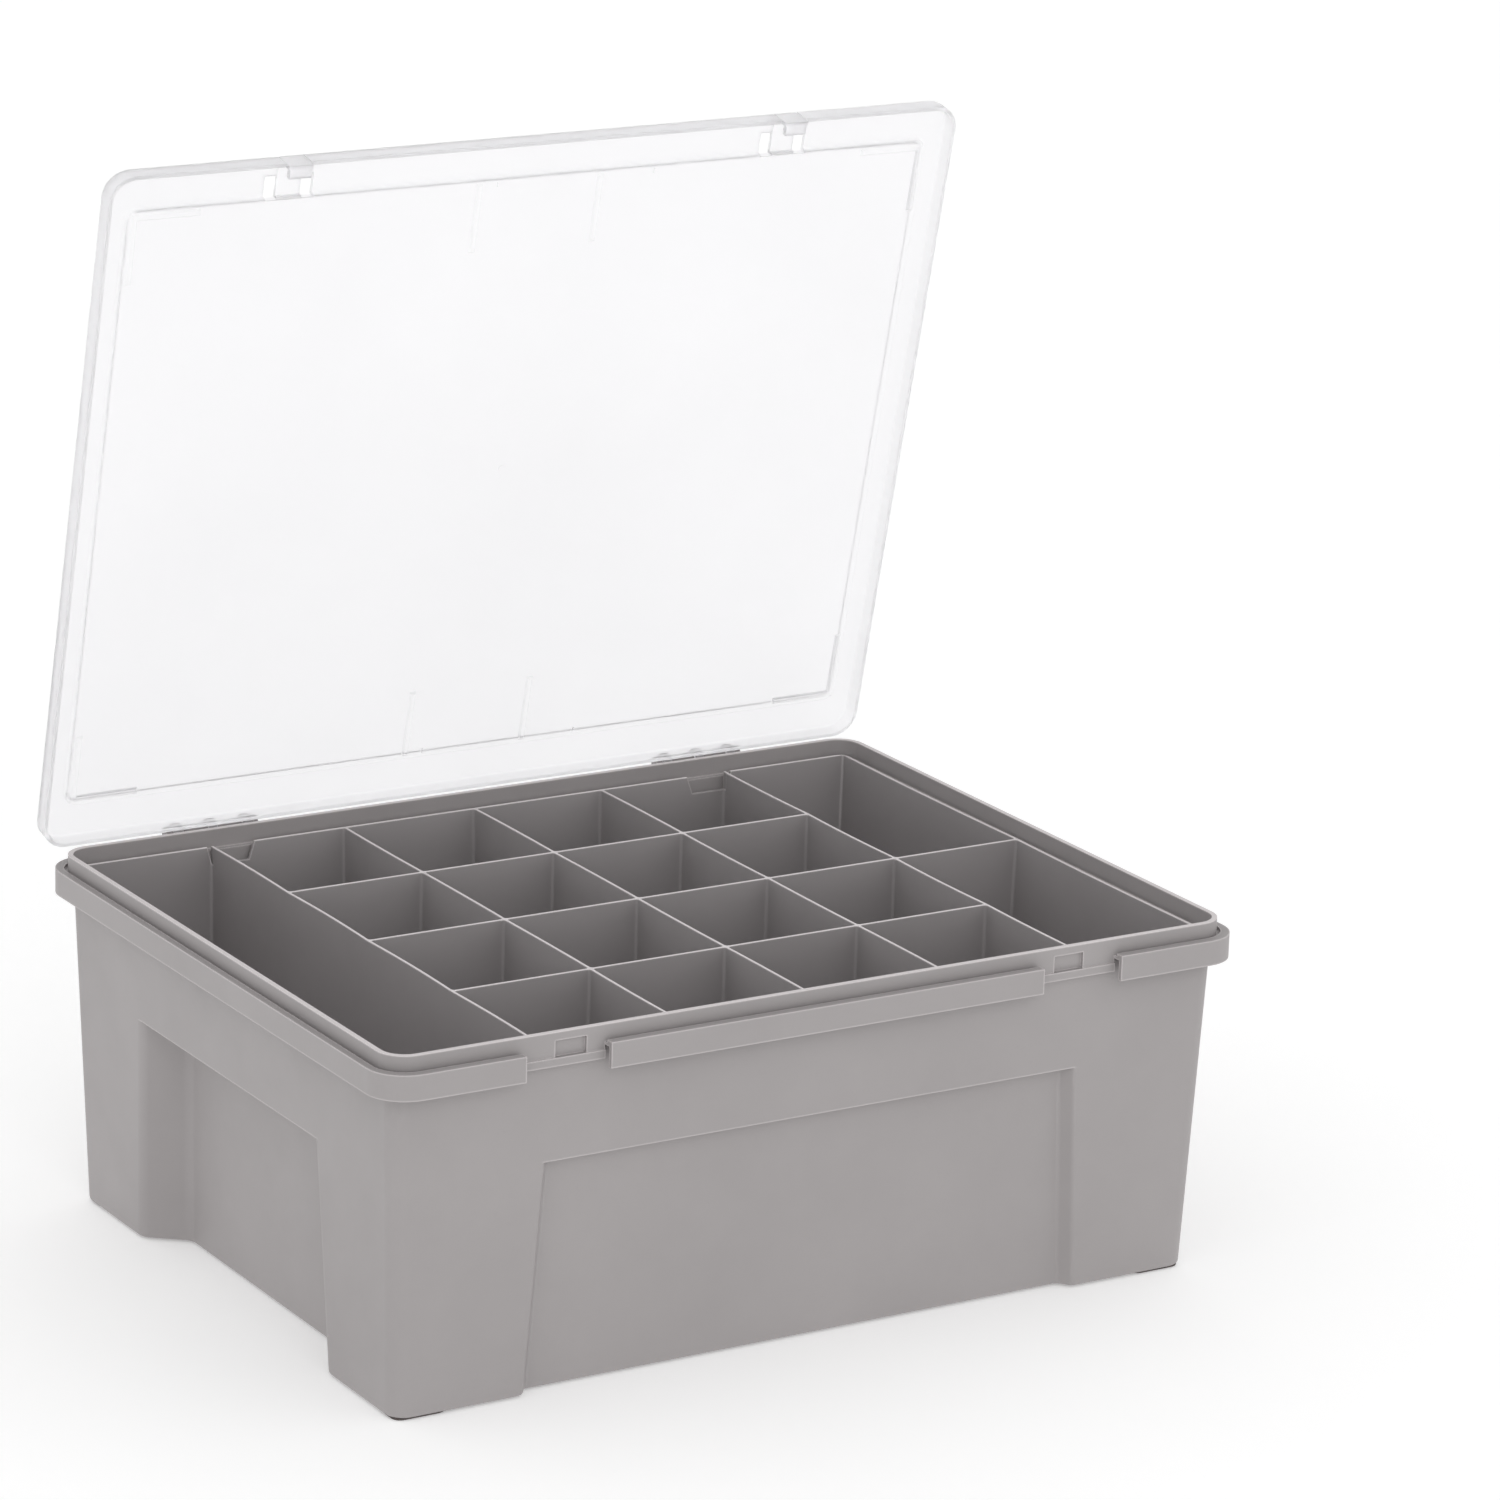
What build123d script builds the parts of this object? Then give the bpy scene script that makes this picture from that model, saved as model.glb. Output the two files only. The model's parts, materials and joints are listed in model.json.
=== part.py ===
"""Parts organizer: a moulded tub with a hinged snap lid and a lift-out tray.

Units are millimetres. +Z is up, +X runs along the long front, and the front faces -Y.
The origin is on the floor, under the middle of the tub. The lid is modelled open.
"""
import os
from math import cos, radians, sin, tan

from build123d import *

os.makedirs("parts", exist_ok=True)

# ---------------------------------------------------------------- driving dimensions
foot_height = 1.0
wall = 2.0
floor_thickness = 2.2

base_length = 371.0          # tub body where it stands, along X
base_width = 277.6           # and along Y
draft = 1.95                 # wall lean in degrees, wider at the top
body_corner_radius = 8.0

recess_roof = 98.0           # underside of the shoulder over the four wall recesses
ledge_height = recess_roof + wall
front_recess_depth = 5.5
front_recess_half_top = 123.0
front_recess_flank = 4.0     # run of the slanted flank, along the wall
front_recess_radius = 3.0
side_recess_depth = 16.5
side_recess_half_top = 77.0
side_recess_flank = 13.0
side_recess_radius = 7.0
recess_spread = 6.0          # each recess half is this much wider at the floor
base_edge_radius = 1.5

flange_bottom = 135.8
flange_top = 146.4
flange_web = 2.4
flange_length = 395.4
flange_width = 303.8
flange_corner_radius = 16.0
lip_top = 152.3
lip_length = 386.0
lip_width = 293.0
lip_thickness = 2.2
lip_corner_radius = 12.0
lip_ledge = 144.2            # inside step where the wall widens into the lip
groove_width = 1.6
groove_depth = 1.2

latch_x = 114.8              # middle of each catch, both sides of centre
latch_gap_centre = 118.4
latch_gap_length = 37.3
band_bottom = 138.5
band_proud = 0.6
pocket_length = 13.8
pocket_bottom = 142.0
pocket_top = 148.8
pocket_depth = 1.4

hinge_y = 154.2
hinge_z = 149.5
hinge_pin_radius = 1.9
hook_bore_radius = 1.96
hook_radius = 3.5
hook_width = 4.0
hook_x = (103.0, 119.0, 135.0)
hook_mouth = 3.0             # opening through which the hook snaps over its pin
hook_mouth_offset = 0.6
hook_mouth_end = 0.95        # the mouth stops this far short of the hook's centre
heel_reach = 4.4             # the heel that stops the lid, out from the hook's centre
heel_length = 3.2
heel_height = 1.5
lug_x = (98.7, 139.3)
lug_thickness = 2.4
lug_radius = 2.3
lug_root = 0.5               # overlap of the lug with the flange skirt
lug_foot = 2.0               # the lug's lower end, above the skirt's edge
lug_shelf_drop = 0.2         # the lug's upper face lies this far below the flange
lug_knee = 3.0               # below the pin, where the lug's outer edge turns in

open_angle = 77.3            # how far the lid stands open from closed
lid_length = 397.0
lid_width = 303.0
lid_thickness = 1.8
lid_corner_radius = 11.0
lid_edge_radius = 1.4
lid_top = 154.6
panel_length = 372.0
panel_width = 266.0
panel_sink = 1.8
panel_corner_radius = 4.0
rib_width = 3.2
rib_height = 0.8
short_rib_length = 31.0
short_rib_x = 28.4

clip_x = 116.0
clip_width = 11.0
clip_window_width = 5.5
clip_window_length = 10.0
clip_root = 18.0             # distance from the lid's front edge to the tongue's root
clip_slit = 0.3
clip_drop = 2.9              # the tongue hangs this far below the lid's skirt
nib_width = 10.0
nib_height = 2.6
nib_clearance = 0.5          # between the nib's tip and the back of its pocket

tray_length = 374.6
tray_width = 280.8
tray_height = 46.4
tray_taper = 1.9             # degrees
tray_corner_radius = 5.0
tray_wall = 1.3
tray_floor = 1.5
divider_thickness = 1.2
column_pitch = 62.6
row_pitch = 70.2
notch_depth = 7.8
notch_outer = 127.9
notch_inner = 105.7
notch_slant = 2.6
notch_outer_slant = 2.0
tray_foot_length = 25.0
tray_foot_width = 10.0
tray_foot_inset = 1.5
tray_foot_radius = 2.0
tray_foot_height = 1.2
tray_edge_radius = 1.2

foot_length = 23.0
foot_width = 14.0
foot_inset = 1.6             # in from the tub's lower edge
foot_corner_radius = 4.0
foot_chamfer = 0.3


# ---------------------------------------------------------------- helpers
def half_length(z):
    """Half the body's outer length at height z."""
    return base_length / 2 + (z - foot_height) * tan(radians(draft))


def half_width(z):
    """Half the body's outer width at height z."""
    return base_width / 2 + (z - foot_height) * tan(radians(draft))


def recessed_outline(z, inset=0.0):
    """Body section at height z with a shallow recess front and back, a deep one each side."""
    x = half_length(z)
    y = half_width(z)
    spread = recess_spread * (recess_roof - z) / recess_roof
    front_outer = front_recess_half_top + spread
    front_inner = front_outer - front_recess_flank
    side_outer = side_recess_half_top + spread
    side_inner = side_outer - side_recess_flank
    quarter = [
        (front_inner, front_recess_depth - y),
        (front_outer, -y),
        (x, -y),
        (x, -side_outer),
        (x - side_recess_depth, -side_inner),
    ]
    right = quarter + [(px, -py) for px, py in reversed(quarter)]
    outline = right + [(-px, py) for px, py in reversed(right)]
    with BuildSketch(Plane.XY.offset(z)) as section:
        with BuildLine():
            Polyline(*outline, close=True)
        make_face()
        corners = section.vertices().filter_by(lambda v: abs(v.X) > x - 0.1 and abs(v.Y) > y - 0.1)
        fillet(corners, body_corner_radius)
        fronts = section.vertices().filter_by(
            lambda v: abs(abs(v.X) - front_outer) < 0.01 or abs(abs(v.X) - front_inner) < 0.01)
        fillet(fronts, front_recess_radius)
        sides = section.vertices().filter_by(
            lambda v: abs(abs(v.Y) - side_outer) < 0.01 or abs(abs(v.Y) - side_inner) < 0.01)
        fillet(sides, side_recess_radius)
        if inset:
            offset(amount=-inset)
    return section.sketch


def plain_outline(z, inset=0.0):
    """Body section at height z above the recesses: a rounded rectangle."""
    with BuildSketch(Plane.XY.offset(z)) as section:
        RectangleRounded(2 * (half_length(z) - inset), 2 * (half_width(z) - inset),
                         body_corner_radius - inset)
    return section.sketch


def ring(plane, length, width, radius, thickness):
    """A rounded rectangular ring of one thickness, drawn on a plane."""
    with BuildSketch(plane) as section:
        RectangleRounded(length, width, radius)
        RectangleRounded(length - 2 * thickness, width - 2 * thickness, radius - thickness,
                         mode=Mode.SUBTRACT)
    return section.sketch


def finish(builder, name):
    """Label a finished piece and write it."""
    builder.part.label = name
    export_step(builder.part, f"parts/{name}.step")


# ---------------------------------------------------------------- tub
with BuildPart() as tub:
    # body, with recesses below the shoulder
    loft([recessed_outline(foot_height), recessed_outline(recess_roof)], ruled=True)
    loft([plain_outline(recess_roof), plain_outline(flange_top)], ruled=True)

    # flange: a web with a skirt hanging from its edge, and the lip standing on it
    with BuildSketch(Plane.XY.offset(flange_top - flange_web)):
        RectangleRounded(flange_length, flange_width, flange_corner_radius)
    extrude(amount=flange_web)
    extrude(ring(Plane.XY.offset(flange_bottom), flange_length, flange_width,
                 flange_corner_radius, wall), amount=flange_top - flange_bottom)
    with BuildSketch(Plane.XY.offset(flange_top - flange_web)):
        RectangleRounded(lip_length, lip_width, lip_corner_radius)
    extrude(amount=lip_top - flange_top + flange_web)

    # drainage groove between lip and flange
    extrude(ring(Plane.XY.offset(flange_top - groove_depth), lip_length + 2 * groove_width,
                 lip_width + 2 * groove_width, lip_corner_radius + groove_width, groove_width),
            amount=groove_depth, mode=Mode.SUBTRACT)

    # two gaps in the front flange, each backed by a low band that carries the catch
    for side in (-1, 1):
        gap_x = side * latch_gap_centre
        with BuildSketch(Plane.XY.offset(flange_bottom)):
            with Locations((gap_x, -flange_width / 2)):
                Rectangle(latch_gap_length, flange_width - lip_width)
        extrude(amount=flange_top - flange_bottom, mode=Mode.SUBTRACT)
        band_back = half_width(band_bottom) - 1.0
        band_front = lip_width / 2 + band_proud
        with BuildSketch(Plane.XY.offset(band_bottom)):
            with Locations((gap_x, -(band_back + band_front) / 2)):
                Rectangle(latch_gap_length, band_front - band_back)
        extrude(amount=pocket_bottom - band_bottom)
        with BuildSketch(Plane.XY.offset(pocket_bottom)):
            with Locations((gap_x, -(band_back + lip_width / 2) / 2)):
                Rectangle(latch_gap_length, lip_width / 2 - band_back)
        extrude(amount=flange_top - pocket_bottom)

    # the hollow inside, stepping out over the recess shoulders and again below the lip
    loft([recessed_outline(foot_height + floor_thickness, wall),
          recessed_outline(recess_roof, wall)], ruled=True, mode=Mode.SUBTRACT)
    extrude(recessed_outline(recess_roof, wall), amount=wall, mode=Mode.SUBTRACT)
    loft([plain_outline(ledge_height, wall), plain_outline(lip_ledge, wall)],
         ruled=True, mode=Mode.SUBTRACT)
    with BuildSketch(Plane.XY.offset(lip_ledge)):
        RectangleRounded(lip_length - 2 * lip_thickness, lip_width - 2 * lip_thickness,
                         lip_corner_radius - lip_thickness)
    extrude(amount=lip_top - lip_ledge, mode=Mode.SUBTRACT)

    # catch pockets, blind from the outside of the lip
    for side in (-1, 1):
        with BuildSketch(Plane.XY.offset(pocket_bottom)):
            with Locations((side * latch_x, -lip_width / 2)):
                Rectangle(pocket_length, 2 * pocket_depth)
        extrude(amount=pocket_top - pocket_bottom, mode=Mode.SUBTRACT)

    # rear hinge: a round pin between two lugs on each side
    lug_start = flange_width / 2 - lug_root
    lug_shelf = flange_top - lug_shelf_drop
    for side in (-1, 1):
        for lug in lug_x:
            with BuildSketch(Plane.YZ.offset(side * lug - lug_thickness / 2)):
                with BuildLine():
                    Polyline((lug_start, flange_bottom + lug_foot),
                             (lug_start, lug_shelf),
                             (hinge_y - lug_radius, lug_shelf),
                             (hinge_y - lug_radius, hinge_z),
                             (hinge_y + lug_radius, hinge_z),
                             (hinge_y + lug_radius, hinge_z - lug_knee),
                             (lug_start + wall, flange_bottom + lug_foot), close=True)
                make_face()
                with Locations((hinge_y, hinge_z)):
                    Circle(lug_radius)
            extrude(amount=lug_thickness)
        pin_start = min(side * lug_x[0], side * lug_x[1])
        with BuildSketch(Plane.YZ.offset(pin_start)):
            with Locations((hinge_y, hinge_z)):
                Circle(hinge_pin_radius)
        extrude(amount=lug_x[1] - lug_x[0])

    # the mould's soft lower edge
    fillet(tub.edges().group_by(Axis.Z)[0], base_edge_radius)
finish(tub, "tub")

# ---------------------------------------------------------------- feet
foot_x = base_length / 2 - foot_inset - foot_length / 2
foot_y = base_width / 2 - foot_inset - foot_width / 2
for name, sx, sy in (("foot_front_left", -1, -1), ("foot_front_right", 1, -1),
                     ("foot_back_left", -1, 1), ("foot_back_right", 1, 1)):
    with BuildPart() as foot:
        with BuildSketch():
            with Locations((sx * foot_x, sy * foot_y)):
                RectangleRounded(foot_length, foot_width, foot_corner_radius)
        extrude(amount=foot_height)
        chamfer(foot.edges().group_by(Axis.Z)[0], foot_chamfer)
    finish(foot, name)

# ---------------------------------------------------------------- lid
# The lid's own plane has its origin on the hinge line and its Z out of the lid's top face.
lid_plane = Plane(origin=(0, hinge_y, hinge_z), x_dir=(1, 0, 0),
                  z_dir=(0, sin(radians(open_angle)), cos(radians(open_angle))))
skirt_bottom = flange_top - hinge_z
top_face = lid_top - hinge_z
under_face = top_face - lid_thickness
lid_back = lid_width / 2 - hinge_y
lid_front = -lid_width / 2 - hinge_y
panel_front = -panel_width / 2 - hinge_y
panel_back = panel_width / 2 - hinge_y

with BuildPart() as lid_blank:
    # border plate and skirt
    with BuildSketch(lid_plane.offset(skirt_bottom)):
        with Locations((0, -hinge_y)):
            RectangleRounded(lid_length, lid_width, lid_corner_radius)
    extrude(amount=top_face - skirt_bottom)
    rim_edges = lid_blank.faces().sort_by(Axis((0, 0, 0), lid_plane.z_dir))[-1].edges()
    fillet(rim_edges, lid_edge_radius)
    with BuildSketch(lid_plane.offset(skirt_bottom)):
        with Locations((0, -hinge_y)):
            RectangleRounded(lid_length - 2 * lid_thickness, lid_width - 2 * lid_thickness,
                             lid_corner_radius - lid_thickness)
    extrude(amount=under_face - skirt_bottom, mode=Mode.SUBTRACT)

    # the centre panel is sunk below the border
    with BuildSketch(lid_plane.offset(under_face - panel_sink)):
        with Locations((0, -hinge_y)):
            RectangleRounded(panel_length + 2 * lid_thickness, panel_width + 2 * lid_thickness,
                             panel_corner_radius + lid_thickness)
    extrude(amount=panel_sink)
    with BuildSketch(lid_plane.offset(top_face - panel_sink)):
        with Locations((0, -hinge_y)):
            RectangleRounded(panel_length, panel_width, panel_corner_radius)
    extrude(amount=panel_sink, mode=Mode.SUBTRACT)

with BuildPart() as lid:
    add(lid_blank.part)

    # ribs on the inner face: short ones from the long edges, and an L in each corner
    with BuildSketch(lid_plane.offset(under_face - panel_sink - rib_height)):
        for x in (-short_rib_x, short_rib_x):
            with Locations((x, panel_front + short_rib_length / 2),
                           (x, panel_back - short_rib_length / 2)):
                Rectangle(rib_width, short_rib_length)
        for sx in (-1, 1):
            for sy in (-1, 1):
                corner_x = sx * (panel_length - rib_width) / 2
                corner_y = sy * (panel_width - rib_width) / 2 - hinge_y
                with Locations((corner_x - sx * short_rib_length / 2, corner_y)):
                    Rectangle(short_rib_length, rib_width)
                with Locations((corner_x, corner_y - sy * short_rib_length / 2)):
                    Rectangle(rib_width, short_rib_length)
    extrude(amount=rib_height)

    # room for the two snap tongues: a window each side of each, and slits through the skirt
    for side in (-1, 1):
        window_x = clip_width / 2 + clip_window_width / 2
        slot_width = clip_width + 2 * clip_slit
        with BuildSketch(lid_plane.offset(skirt_bottom - 1)):
            with Locations((side * clip_x, lid_front + clip_root / 2 - 1)):
                Rectangle(slot_width, clip_root + 2)
            window_y = lid_front + clip_root - clip_window_length / 2
            with Locations((side * clip_x - window_x, window_y), (side * clip_x + window_x, window_y)):
                Rectangle(clip_window_width, clip_window_length)
        extrude(amount=top_face - skirt_bottom + 2, mode=Mode.SUBTRACT)

    # hinge hooks: open rings that snap over the tub's pins, with a heel that stops the lid
    for side in (-1, 1):
        for x in hook_x:
            hook_plane = Plane(origin=lid_plane.from_local_coords((side * x - hook_width / 2, 0, 0)),
                               x_dir=lid_plane.y_dir, z_dir=(1, 0, 0))
            with BuildSketch(hook_plane):
                Circle(hook_radius)
                with Locations((heel_reach, 0)):
                    Rectangle(heel_length, heel_height)
                Circle(hook_bore_radius, mode=Mode.SUBTRACT)
                with Locations((hook_mouth_offset, -hook_radius)):
                    Rectangle(hook_mouth, 2 * (hook_radius - hook_mouth_end), mode=Mode.SUBTRACT)
            extrude(amount=hook_width)
finish(lid, "lid")

# ---------------------------------------------------------------- snap tongues
for name, side in (("lid_clip_left", -1), ("lid_clip_right", 1)):
    with BuildPart() as clip:
        # the lid's own border and skirt between the slits
        add(lid_blank.part)
        with BuildSketch(lid_plane.offset(skirt_bottom)):
            with Locations((side * clip_x, lid_front + (clip_root - clip_slit) / 2)):
                Rectangle(clip_width, clip_root - clip_slit)
        extrude(amount=top_face - skirt_bottom, mode=Mode.INTERSECT)
        # the skirt carries on down, and its foot turns in as the nib
        with BuildSketch(lid_plane.offset(skirt_bottom - clip_drop)):
            with Locations((side * clip_x, lid_front + lid_thickness / 2)):
                Rectangle(clip_width, lid_thickness)
        extrude(amount=clip_drop)
        nib_reach = (lid_width - lip_width) / 2 + pocket_depth - nib_clearance
        with BuildSketch(lid_plane.offset(skirt_bottom - clip_drop)):
            with Locations((side * clip_x, lid_front + nib_reach / 2)):
                Rectangle(nib_width, nib_reach)
        extrude(amount=nib_height)
    finish(clip, name)

# ---------------------------------------------------------------- tray
tray_bottom = ledge_height
tray_top = tray_bottom + tray_height
tray_shrink = tray_height * tan(radians(tray_taper))


def tray_section(z, inset):
    """Tray outline at height z, drawn in by inset."""
    narrowing = (tray_top - z) * tan(radians(tray_taper)) + inset
    with BuildSketch(Plane.XY.offset(z)) as section:
        RectangleRounded(tray_length - 2 * narrowing, tray_width - 2 * narrowing,
                         tray_corner_radius - inset)
    return section.sketch


with BuildPart() as tray_inside:
    loft([tray_section(tray_bottom + tray_floor, tray_wall), tray_section(tray_top, tray_wall)],
         ruled=True)

with BuildPart() as tray_shell:
    loft([tray_section(tray_bottom, 0), tray_section(tray_top, 0)], ruled=True)
    fillet(tray_shell.edges().group_by(Axis.Z)[0], tray_edge_radius)
    add(tray_inside.part, mode=Mode.SUBTRACT)
    # a notch in the front and back walls at each outer column divider
    for side in (-1, 1):
        with BuildSketch(Plane.XZ):
            with BuildLine():
                Polyline((side * notch_outer, tray_top + 1),
                         (side * notch_outer, tray_top),
                         (side * (notch_outer - notch_outer_slant), tray_top - notch_depth),
                         (side * (notch_inner + notch_slant), tray_top - notch_depth),
                         (side * notch_inner, tray_top),
                         (side * notch_inner, tray_top + 1), close=True)
            make_face()
        extrude(amount=tray_width, both=True, mode=Mode.SUBTRACT)
    # shallow feet under the corners
    with BuildSketch(Plane.XY.offset(tray_bottom - tray_foot_height)):
        foot_centre_x = tray_length / 2 - tray_shrink - tray_foot_inset - tray_foot_length / 2
        foot_centre_y = tray_width / 2 - tray_shrink - tray_foot_inset - tray_foot_width / 2
        with Locations((-foot_centre_x, -foot_centre_y), (foot_centre_x, -foot_centre_y),
                       (-foot_centre_x, foot_centre_y), (foot_centre_x, foot_centre_y)):
            RectangleRounded(tray_foot_length, tray_foot_width, tray_foot_radius)
    extrude(amount=tray_foot_height)
finish(tray_shell, "tray_shell")

column_names = ("tray_divider_far_left", "tray_divider_left", "tray_divider_middle",
                "tray_divider_right", "tray_divider_far_right")
for number, name in enumerate(column_names):
    with BuildPart() as divider:
        with BuildSketch(Plane.XY.offset(tray_bottom + tray_floor)):
            with Locations(((number - 2) * column_pitch, 0)):
                Rectangle(divider_thickness, tray_width)
        extrude(amount=tray_height - tray_floor)
        add(tray_inside.part, mode=Mode.INTERSECT)
    finish(divider, name)

cell_length = column_pitch - divider_thickness
cell_middles = [(number - 1.5) * column_pitch for number in range(4)]
for name, y in (("tray_cross_divider_front", -row_pitch), ("tray_cross_divider_middle", 0.0),
                ("tray_cross_divider_back", row_pitch)):
    with BuildPart() as cross:
        with BuildSketch(Plane.XY.offset(tray_bottom + tray_floor)):
            with Locations(*[(x, y) for x in cell_middles]):
                Rectangle(cell_length, divider_thickness)
        extrude(amount=tray_height - tray_floor)
    finish(cross, name)

with BuildPart() as end_cross:
    end_start = 2 * column_pitch + divider_thickness / 2
    end_length = tray_length / 2 - end_start
    with BuildSketch(Plane.XY.offset(tray_bottom + tray_floor)):
        with Locations((end_start + end_length / 2, 0)):
            Rectangle(end_length, divider_thickness)
    extrude(amount=tray_height - tray_floor)
    add(tray_inside.part, mode=Mode.INTERSECT)
finish(end_cross, "tray_end_divider")
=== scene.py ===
"""Looks of the parts organizer: a moulded tub, a frosted snap lid and a compartment tray.

Everything is in metres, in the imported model's frame: +Z is up and the front faces -Y.
"""
import json
from math import cos, pi, radians, sin, tan

import bmesh
import bpy
from mathutils import Matrix, Vector


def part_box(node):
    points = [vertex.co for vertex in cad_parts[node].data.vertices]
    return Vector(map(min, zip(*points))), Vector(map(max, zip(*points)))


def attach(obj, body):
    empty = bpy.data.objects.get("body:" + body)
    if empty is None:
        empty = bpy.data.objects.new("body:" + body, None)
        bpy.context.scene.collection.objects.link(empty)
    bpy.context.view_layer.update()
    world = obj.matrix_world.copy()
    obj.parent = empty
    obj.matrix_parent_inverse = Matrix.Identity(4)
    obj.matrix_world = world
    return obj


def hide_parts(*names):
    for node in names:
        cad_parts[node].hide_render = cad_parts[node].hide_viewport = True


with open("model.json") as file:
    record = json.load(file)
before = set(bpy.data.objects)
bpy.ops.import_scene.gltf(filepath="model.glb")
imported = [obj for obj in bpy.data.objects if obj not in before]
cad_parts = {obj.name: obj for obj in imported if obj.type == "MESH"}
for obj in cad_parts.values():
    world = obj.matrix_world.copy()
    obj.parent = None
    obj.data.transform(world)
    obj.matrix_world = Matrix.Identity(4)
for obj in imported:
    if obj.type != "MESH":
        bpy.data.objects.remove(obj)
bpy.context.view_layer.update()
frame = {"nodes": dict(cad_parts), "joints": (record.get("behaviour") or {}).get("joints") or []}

MM = 0.001
CORNER_STEPS = 6                  # segments in each rounded corner of an outline
ROUND_STEPS = 3                   # segments across each rounded edge
SMALLEST_RADIUS = 0.01 * MM
MERGE_DISTANCE = 0.002 * MM       # CAD vertices closer than this are one
FLAT_ANGLE = 0.4                  # degrees: CAD facets flatter than this are one face

# tray moulding
TRAY_TAPER = tan(radians(1.9))
TRAY_WALL = 1.3 * MM
TRAY_FLOOR = 1.5 * MM
TRAY_FOOT_HEIGHT = 1.2 * MM
TRAY_FOOT_LENGTH = 25 * MM
TRAY_FOOT_WIDTH = 10 * MM
TRAY_FOOT_INSET = 3.1 * MM        # from the tray's widest outline
TRAY_FOOT_CORNER = 2 * MM
TRAY_FOOT_EDGE = (0.4 * MM, 0.3 * MM)   # chamfer round the sole: sideways, up
TRAY_FOOT_SINK = 0.5 * MM         # how far a foot runs on into the tray's floor
TRAY_CORNER = 5.0 * MM
TRAY_BASE_EDGE = 1.4 * MM
TRAY_RIM_EDGE = 0.35 * MM
POCKET_CORNER = 1.3 * MM
POCKET_FLOOR_EDGE = 1.2 * MM
DIVIDER_GROWTH = 0.006            # how fast a divider thickens towards the floor
BAY_STEPS = 8                     # segments along each bay of a bowed divider
HEIGHT_STEPS = 5                  # rings between a wall's top and its foot
BOW_FADE = 1.3                    # power by which a bow fades towards the floor
END_WALL_BOW = 1.1 * MM
# how far each divider bows sideways in each bay, front to back, in millimetres
DIVIDER_BOWS = ((0.65, 0.7, 0.75, 0.6), (-0.45, 0.2, 0.25, -0.35), (0.2, -0.3, 0.25, 0.3),
                (0.3, -0.25, -0.35, 0.3), (-0.5, -0.65, -0.6, -0.5))
NOTCH_DEPTH = 7.8 * MM
NOTCH_OUTER = 2.7 * MM            # from the divider's middle to the notch's outer end
NOTCH_OUTER_SLANT = 2.0 * MM
NOTCH_INNER = 19.5 * MM
NOTCH_INNER_SLANT = 2.6 * MM
NOTCH_REACH = 1.6 * MM            # how far the notch is cut inside the wall
NOTCH_BITE = 0.12 * MM            # how far it is cut into the divider's sides

# lid moulding
LID_WALL = 1.8 * MM
LID_WIDTH = 303.0 * MM
LID_SKIRT = 8.1 * MM              # stops just above the flange it closes on
LID_CORNER = 11.0 * MM
LID_RIM = 1.4 * MM                # round of the outer top edge
LID_RIM_STEPS = 5
LID_EDGE = 0.5 * MM               # rounds of the skirt's bottom edge
PANEL_LENGTH = 372.0 * MM
PANEL_WIDTH = 266.0 * MM
PANEL_SINK = 1.8 * MM
PANEL_CORNER = 4.0 * MM
PANEL_EDGE = 0.85 * MM            # rounds where the panel steps down from the border
RIB_WIDTH = 3.2 * MM
RIB_HEIGHT = 0.8 * MM
RIB_SLOPE = 0.8 * MM              # how far a rib's sides lean in over its height
SHORT_RIB = 31.0 * MM
SHORT_RIB_X = 28.4 * MM
TICK_LENGTH = 2.4 * MM            # small marks beside the ribs on the panel's long edges
TICK_WIDTH = 0.9 * MM
TICK_X = (-20.0 * MM, 54.0 * MM)
GATE_RADIUS = 1.6 * MM            # scar of the mould's gate
GATE_STEPS = 16
CLIP_SLOT = 11.6 * MM
CLIP_GAP = 0.3 * MM               # between a snap tongue and the lid
CLIP_ROOT = 18.0 * MM
WINDOW_WIDTH = 5.5 * MM
WINDOW_LENGTH = 10.0 * MM
HOOK_RADIUS = 3.5 * MM
HOOK_BORE = 1.96 * MM
HOOK_WIDTH = 4.0 * MM
HOOK_STEPS = 40
HOOK_X = (103.0 * MM, 119.0 * MM, 135.0 * MM)
HOOK_MOUTH = (-0.9 * MM, 2.1 * MM, 0.95 * MM)   # from y, to y, depth of its top below the pin
HEEL = (2.8 * MM, 6.0 * MM, 0.75 * MM)          # from y, to y, half its height


# ---------------------------------------------------------------- mesh helpers
def new_piece(name, bm):
    """Turn a bmesh into a linked object, with its normals pointing out."""
    bmesh.ops.recalc_face_normals(bm, faces=bm.faces)
    mesh = bpy.data.meshes.new(name)
    bm.to_mesh(mesh)
    bm.free()
    piece = bpy.data.objects.new(name, mesh)
    bpy.context.scene.collection.objects.link(piece)
    return piece


def bake_modifiers(piece):
    """Apply all modifiers of a piece to its mesh."""
    bpy.context.view_layer.update()
    graph = bpy.context.evaluated_depsgraph_get()
    mesh = bpy.data.meshes.new_from_object(piece.evaluated_get(graph))
    piece.modifiers.clear()
    piece.data = mesh


def combine(piece, tool, operation, solver="EXACT"):
    """Boolean a piece with a tool object, and remove the tool."""
    modifier = piece.modifiers.new("combine", "BOOLEAN")
    modifier.operation = operation
    modifier.solver = solver
    modifier.object = tool
    bake_modifiers(piece)
    bpy.data.objects.remove(tool)


def soft_shading(piece, sharp_angle=38):
    """Smooth shading that keeps large flat faces flat."""
    for polygon in piece.data.polygons:
        polygon.use_smooth = True
    piece.data.set_sharp_from_angle(angle=radians(sharp_angle))
    modifier = piece.modifiers.new("normals", "WEIGHTED_NORMAL")
    modifier.keep_sharp = True
    modifier.weight = 100
    bake_modifiers(piece)


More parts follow.
